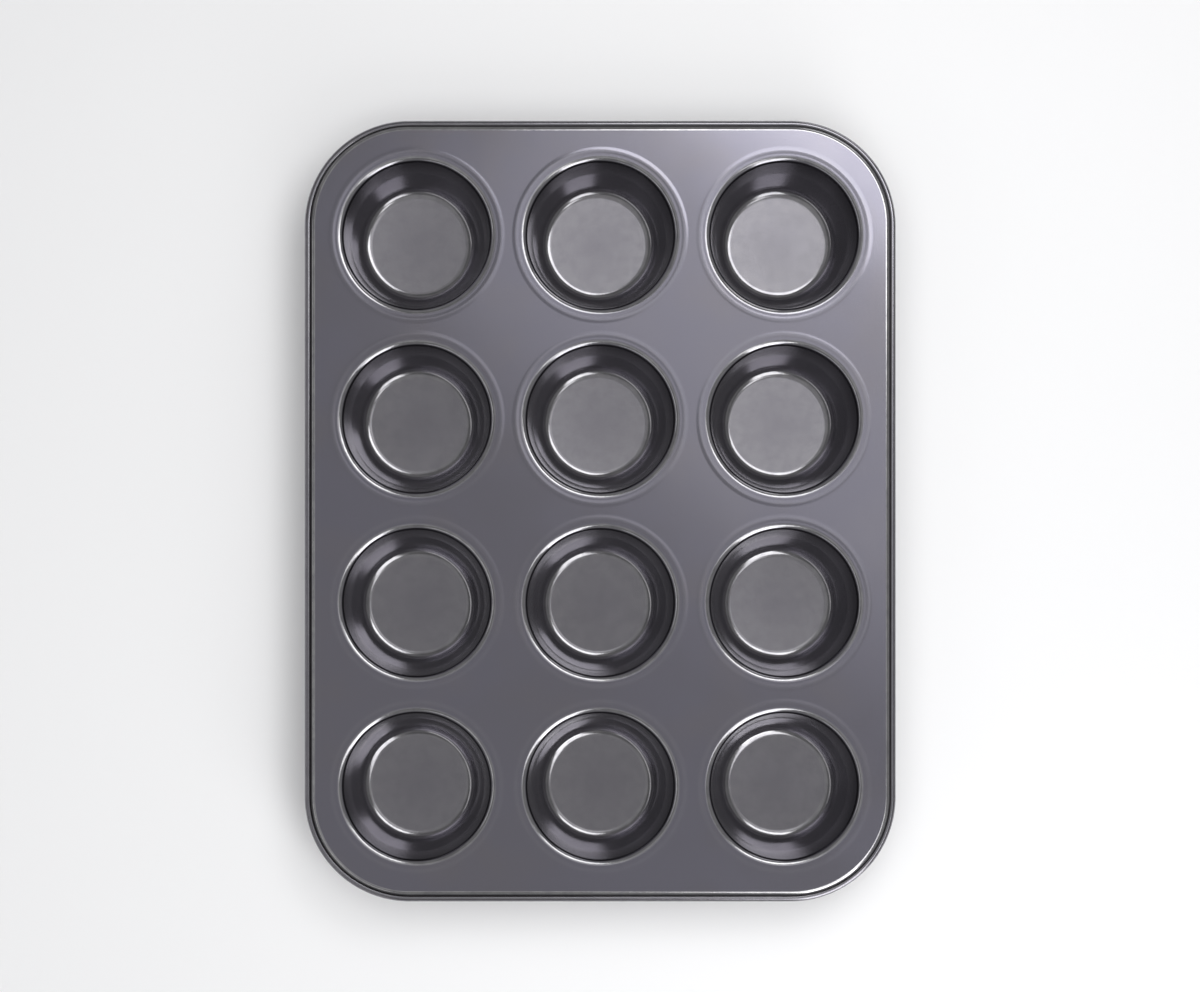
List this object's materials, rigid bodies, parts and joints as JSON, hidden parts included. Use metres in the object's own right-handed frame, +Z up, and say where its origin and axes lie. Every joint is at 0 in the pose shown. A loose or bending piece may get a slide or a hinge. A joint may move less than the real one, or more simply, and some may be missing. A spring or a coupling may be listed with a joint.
{
  "type": "muffin tin",
  "caption": "Rectangular muffin tin: a flat deck with rows of round tapered cups, drawn in one sheet, and an edge rolled round a wire, all with a dark non-stick coating.",
  "frame": {"origin": "middle of the tin, on the surface that the cup undersides stand on", "axes": "+Z up out of the cups, Y along the long side with row 1 at +Y, X along the short side with column 1 at -X"},
  "size_m": [0.265, 0.35, 0.0301],
  "materials": {
    "coated_cup": "satin dark grey non-stick coating on steel sheet",
    "coated_deck": "satin dark grey non-stick coating on steel sheet",
    "coated_rim": "satin dark grey non-stick coating on steel sheet",
    "bare_wire": "drawn steel wire"
  },
  "bodies": {
    "root": {"cup_r1_c1": "coated_cup", "cup_r1_c2": "coated_cup", "cup_r1_c3": "coated_cup", "cup_r2_c1": "coated_cup", "cup_r2_c2": "coated_cup", "cup_r2_c3": "coated_cup", "cup_r3_c1": "coated_cup", "cup_r3_c2": "coated_cup", "cup_r3_c3": "coated_cup", "cup_r4_c1": "coated_cup", "cup_r4_c2": "coated_cup", "cup_r4_c3": "coated_cup", "deck": "coated_deck", "rolled_rim": "coated_rim", "rim_wire": "bare_wire"}
  },
  "joints": []
}
